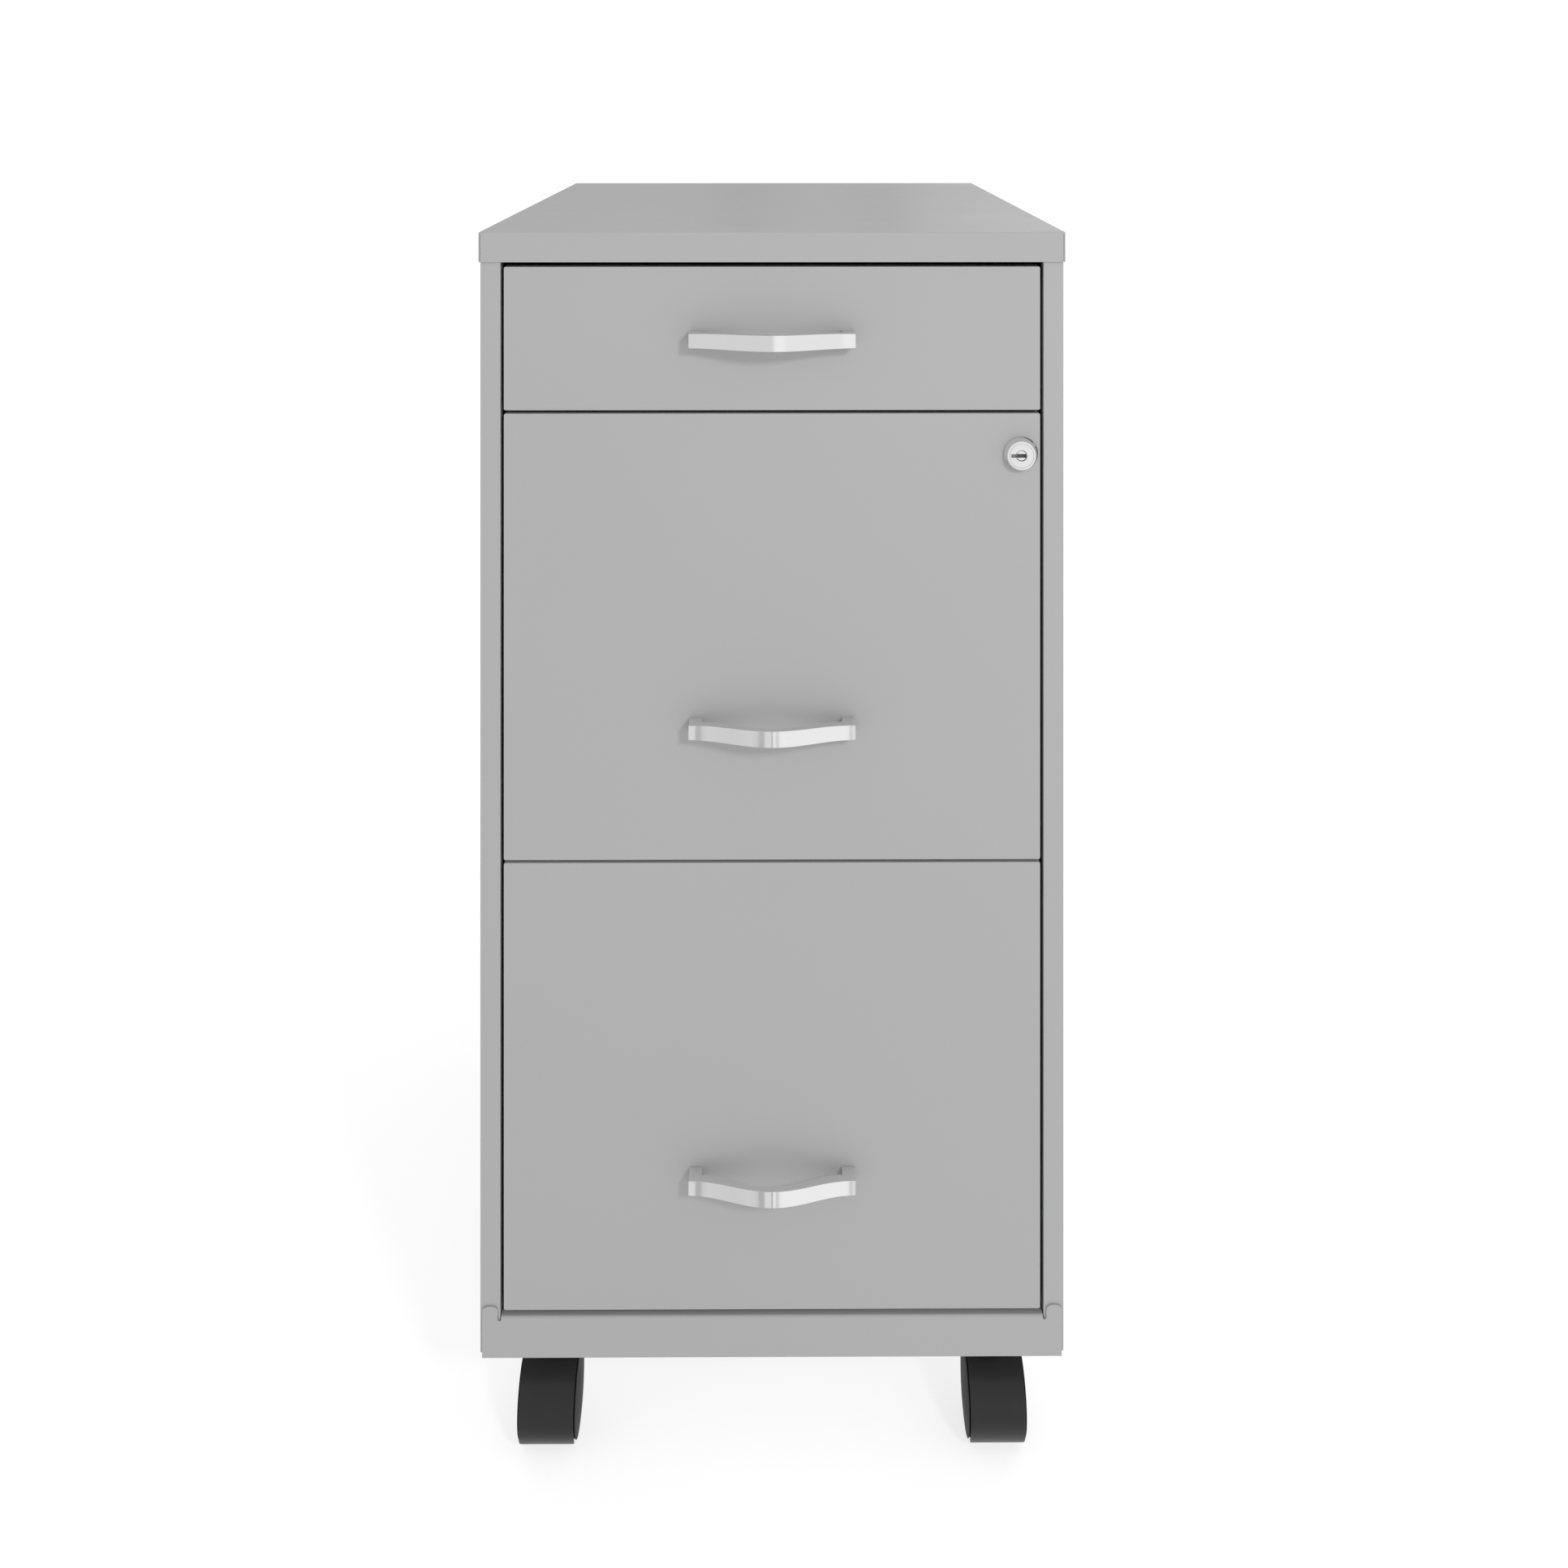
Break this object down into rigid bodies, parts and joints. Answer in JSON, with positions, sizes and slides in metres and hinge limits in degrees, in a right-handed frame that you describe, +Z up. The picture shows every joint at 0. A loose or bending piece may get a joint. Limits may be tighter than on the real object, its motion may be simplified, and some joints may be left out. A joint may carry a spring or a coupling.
{
  "type": "rolling pedestal cabinet",
  "caption": "Mobile pedestal cabinet of folded sheet steel with a box drawer over file drawers, bowed bar handles, a cam lock and hooded twin-wheel casters.",
  "frame": {"origin": "on the floor, under the middle of the closed cabinet's bounding box, handles included", "axes": "+Z up, the drawers open towards -Y, +X is the cabinet's right side seen from the front"},
  "size_m": [0.362, 0.4788, 0.7636],
  "materials": {
    "case_paint": "semi-gloss powder coat",
    "drawer_paint": "semi-gloss powder coat",
    "slide_zinc": "zinc plated",
    "handle_chrome": "satin chrome",
    "lock_chrome": "satin chrome",
    "fastener_steel": "plated",
    "caster_nylon": "moulded nylon, semi-gloss",
    "wheel_nylon": "moulded nylon, semi-gloss"
  },
  "bodies": {
    "case": {"top_cap": "case_paint", "left_side_panel": "case_paint", "right_side_panel": "case_paint", "back_panel": "case_paint", "base_pan": "case_paint", "front_bottom_rail": "case_paint", "top_drawer_left_channel": "slide_zinc", "top_drawer_right_channel": "slide_zinc", "middle_drawer_left_channel": "slide_zinc", "middle_drawer_right_channel": "slide_zinc", "bottom_drawer_left_channel": "slide_zinc", "bottom_drawer_right_channel": "slide_zinc", "front_left_caster_mount": "slide_zinc", "front_right_caster_mount": "slide_zinc", "rear_left_caster_mount": "slide_zinc", "rear_right_caster_mount": "slide_zinc"},
    "top_drawer": {"top_drawer_front": "drawer_paint", "top_drawer_body": "drawer_paint", "top_drawer_left_runner": "slide_zinc", "top_drawer_right_runner": "slide_zinc", "top_drawer_handle": "handle_chrome", "top_drawer_left_screw": "fastener_steel", "top_drawer_right_screw": "fastener_steel"},
    "middle_drawer": {"middle_drawer_front": "drawer_paint", "middle_drawer_body": "drawer_paint", "middle_drawer_left_runner": "slide_zinc", "middle_drawer_right_runner": "slide_zinc", "middle_drawer_handle": "handle_chrome", "middle_drawer_left_screw": "fastener_steel", "middle_drawer_right_screw": "fastener_steel", "lock_housing": "lock_chrome", "lock_nut": "fastener_steel"},
    "bottom_drawer": {"bottom_drawer_front": "drawer_paint", "bottom_drawer_body": "drawer_paint", "bottom_drawer_left_runner": "slide_zinc", "bottom_drawer_right_runner": "slide_zinc", "bottom_drawer_handle": "handle_chrome", "bottom_drawer_left_screw": "fastener_steel", "bottom_drawer_right_screw": "fastener_steel"},
    "lock_core": {"lock_plug": "lock_chrome", "lock_cam": "fastener_steel", "lock_cam_screw": "fastener_steel"},
    "front_left_caster": {"front_left_caster_hood": "caster_nylon", "front_left_caster_axle": "fastener_steel"},
    "front_left_inner_wheel": {"front_left_caster_inner_wheel": "wheel_nylon"},
    "front_left_outer_wheel": {"front_left_caster_outer_wheel": "wheel_nylon"},
    "front_right_caster": {"front_right_caster_hood": "caster_nylon", "front_right_caster_axle": "fastener_steel"},
    "front_right_inner_wheel": {"front_right_caster_inner_wheel": "wheel_nylon"},
    "front_right_outer_wheel": {"front_right_caster_outer_wheel": "wheel_nylon"},
    "rear_left_caster": {"rear_left_caster_hood": "caster_nylon", "rear_left_caster_axle": "fastener_steel"},
    "rear_left_inner_wheel": {"rear_left_caster_inner_wheel": "wheel_nylon"},
    "rear_left_outer_wheel": {"rear_left_caster_outer_wheel": "wheel_nylon"},
    "rear_right_caster": {"rear_right_caster_hood": "caster_nylon", "rear_right_caster_axle": "fastener_steel"},
    "rear_right_inner_wheel": {"rear_right_caster_inner_wheel": "wheel_nylon"},
    "rear_right_outer_wheel": {"rear_right_caster_outer_wheel": "wheel_nylon"}
  },
  "joints": [
    {"name": "top_drawer_slide", "type": "slide", "parent": "case", "child": "top_drawer", "axis": [0, -1, 0], "range_m": [0, 0.32]},
    {"name": "middle_drawer_slide", "type": "slide", "parent": "case", "child": "middle_drawer", "axis": [0, -1, 0], "range_m": [0, 0.32]},
    {"name": "bottom_drawer_slide", "type": "slide", "parent": "case", "child": "bottom_drawer", "axis": [0, -1, 0], "range_m": [0, 0.32]},
    {"name": "lock_turn", "type": "hinge", "parent": "middle_drawer", "child": "lock_core", "pos_m": [0.1531, -0.21677, 0.6267], "axis": [0, 1, 0], "range_deg": [0, 90]},
    {"name": "front_left_caster_swivel", "type": "hinge", "parent": "case", "child": "front_left_caster", "pos_m": [-0.1405, -0.16678, 0.0235], "axis": [0, 0, 1], "continuous": true},
    {"name": "front_left_inner_wheel_spin", "type": "hinge", "parent": "front_left_caster", "child": "front_left_inner_wheel", "pos_m": [-0.1405, -0.18677, 0.0235], "axis": [1, 0, 0], "continuous": true},
    {"name": "front_left_outer_wheel_spin", "type": "hinge", "parent": "front_left_caster", "child": "front_left_outer_wheel", "pos_m": [-0.1405, -0.18677, 0.0235], "axis": [1, 0, 0], "continuous": true},
    {"name": "front_right_caster_swivel", "type": "hinge", "parent": "case", "child": "front_right_caster", "pos_m": [0.1405, -0.16678, 0.0235], "axis": [0, 0, 1], "continuous": true},
    {"name": "front_right_inner_wheel_spin", "type": "hinge", "parent": "front_right_caster", "child": "front_right_inner_wheel", "pos_m": [0.1405, -0.18677, 0.0235], "axis": [1, 0, 0], "continuous": true},
    {"name": "front_right_outer_wheel_spin", "type": "hinge", "parent": "front_right_caster", "child": "front_right_outer_wheel", "pos_m": [0.1405, -0.18677, 0.0235], "axis": [1, 0, 0], "continuous": true},
    {"name": "rear_left_caster_swivel", "type": "hinge", "parent": "case", "child": "rear_left_caster", "pos_m": [-0.1405, 0.19332, 0.0235], "axis": [0, 0, 1], "continuous": true},
    {"name": "rear_left_inner_wheel_spin", "type": "hinge", "parent": "rear_left_caster", "child": "rear_left_inner_wheel", "pos_m": [-0.1405, 0.17333, 0.0235], "axis": [1, 0, 0], "continuous": true},
    {"name": "rear_left_outer_wheel_spin", "type": "hinge", "parent": "rear_left_caster", "child": "rear_left_outer_wheel", "pos_m": [-0.1405, 0.17333, 0.0235], "axis": [1, 0, 0], "continuous": true},
    {"name": "rear_right_caster_swivel", "type": "hinge", "parent": "case", "child": "rear_right_caster", "pos_m": [0.1405, 0.19332, 0.0235], "axis": [0, 0, 1], "continuous": true},
    {"name": "rear_right_inner_wheel_spin", "type": "hinge", "parent": "rear_right_caster", "child": "rear_right_inner_wheel", "pos_m": [0.1405, 0.17333, 0.0235], "axis": [1, 0, 0], "continuous": true},
    {"name": "rear_right_outer_wheel_spin", "type": "hinge", "parent": "rear_right_caster", "child": "rear_right_outer_wheel", "pos_m": [0.1405, 0.17333, 0.0235], "axis": [1, 0, 0], "continuous": true}
  ]
}
